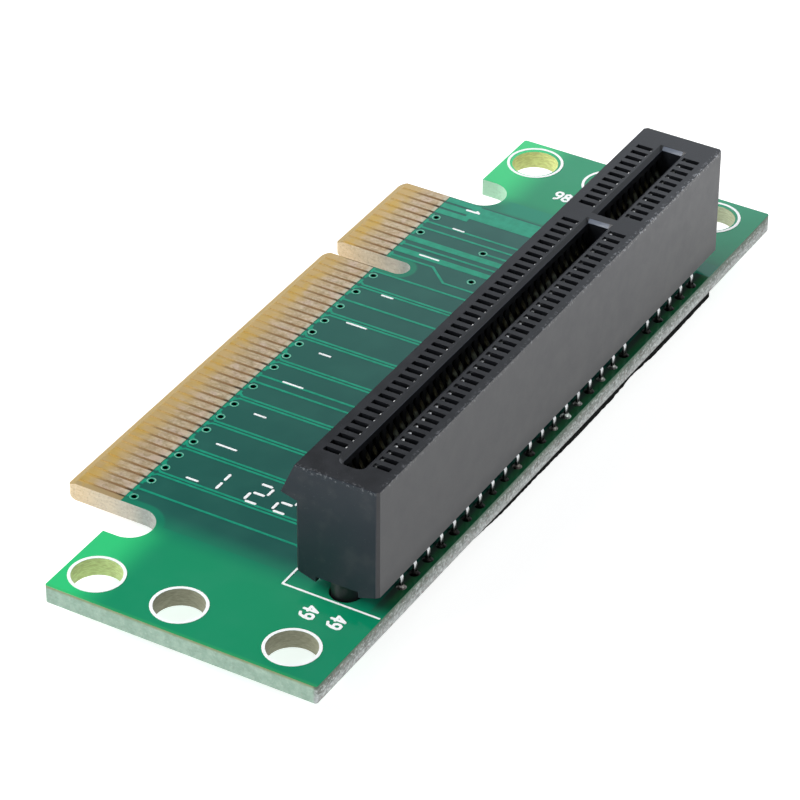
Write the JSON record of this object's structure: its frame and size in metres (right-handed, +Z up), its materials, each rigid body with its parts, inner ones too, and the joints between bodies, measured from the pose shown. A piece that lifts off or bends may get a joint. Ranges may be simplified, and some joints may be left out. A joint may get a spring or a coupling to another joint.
{
  "type": "pcie riser card",
  "caption": "Flat riser card: a green circuit board with a gold edge-finger tab along one side, an upright black card socket along the other and a mounting hole row at each end",
  "frame": {"origin": "key datum of the card slot: middle of the key rib, on the socket's centreline, on the board's component face", "axes": "+X along the tab and the socket towards the highest contact number, +Y from the tab's tip towards the socket, +Z up out of the component face"},
  "size_m": [0.075, 0.03, 0.0144],
  "materials": {
    "solder_mask_board": "gloss",
    "housing_plastic": "satin",
    "black_foam": "matte",
    "contact_metal": "satin",
    "gold_finger": "polished"
  },
  "bodies": {
    "root": {"circuit_board": "solder_mask_board", "connector_housing": "housing_plastic", "foam_pad": "black_foam", "contacts_a_short_inner": "contact_metal", "contacts_a_short_outer": "contact_metal", "contacts_a_long_inner": "contact_metal", "contacts_a_long_outer": "contact_metal", "contacts_b_short_inner": "contact_metal", "contacts_b_short_outer": "contact_metal", "contacts_b_long_inner": "contact_metal", "contacts_b_long_outer": "contact_metal", "front_fingers_short": "gold_finger", "front_fingers_long": "gold_finger", "back_fingers_short": "gold_finger", "back_fingers_long": "gold_finger"}
  },
  "joints": []
}
